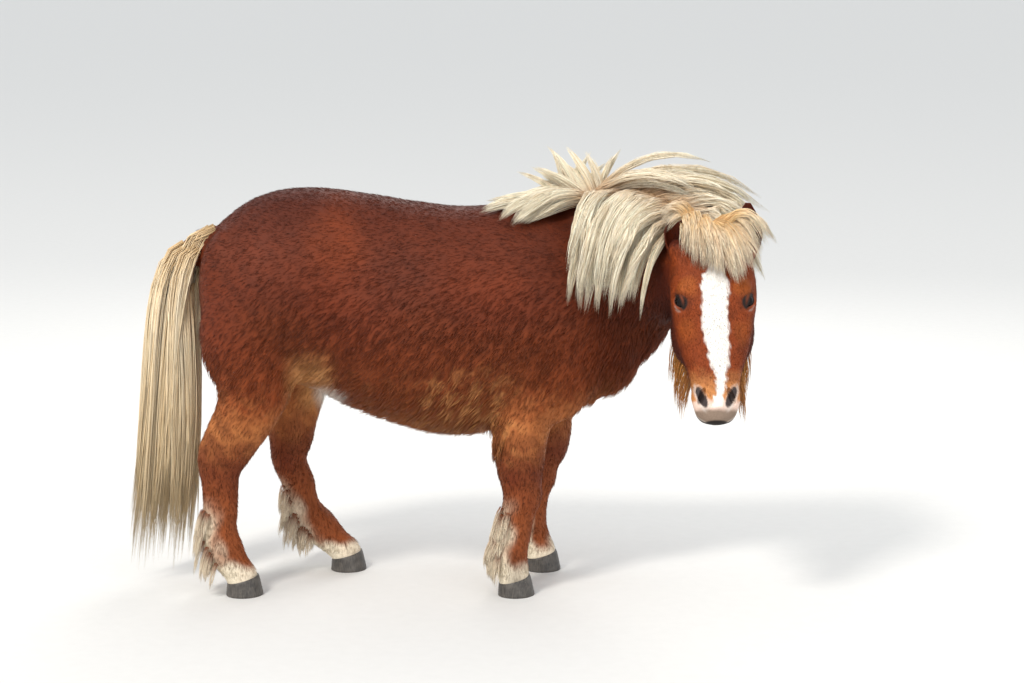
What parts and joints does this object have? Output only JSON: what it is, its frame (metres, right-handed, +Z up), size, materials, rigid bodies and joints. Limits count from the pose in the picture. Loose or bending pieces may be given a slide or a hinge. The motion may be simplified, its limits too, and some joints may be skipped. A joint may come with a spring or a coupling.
{
  "type": "shetland pony",
  "caption": "Life-size standing pony with a chestnut coat, flaxen mane and tail and a white blaze, its head turned to its right; a still animal figure on four flat hooves.",
  "frame": {"origin": "on the floor, under the middle of the pony's bounding box", "axes": "+X the way the pony's body points, +Y its left side, +Z up"},
  "size_m": [1.5284, 0.6768, 1.0957],
  "materials": {
    "chestnut_coat": "medium-long winter hair over hide",
    "flaxen_hair": "long coarse hair",
    "eye_dark": "wet gloss",
    "hoof_horn": "worn horn"
  },
  "bodies": {
    "root": {"ear_left": "chestnut_coat", "ear_right": "chestnut_coat", "eye_left": "eye_dark", "eye_right": "eye_dark", "fore_cannon_left": "chestnut_coat", "fore_cannon_right": "chestnut_coat", "forearm_left": "chestnut_coat", "forearm_right": "chestnut_coat", "head": "chestnut_coat", "hind_cannon_left": "chestnut_coat", "hind_cannon_right": "chestnut_coat", "hoof_fore_left": "hoof_horn", "hoof_fore_right": "hoof_horn", "hoof_hind_left": "hoof_horn", "hoof_hind_right": "hoof_horn", "neck": "chestnut_coat", "tail": "flaxen_hair", "thigh_left": "chestnut_coat", "thigh_right": "chestnut_coat", "torso": "chestnut_coat"}
  },
  "joints": []
}
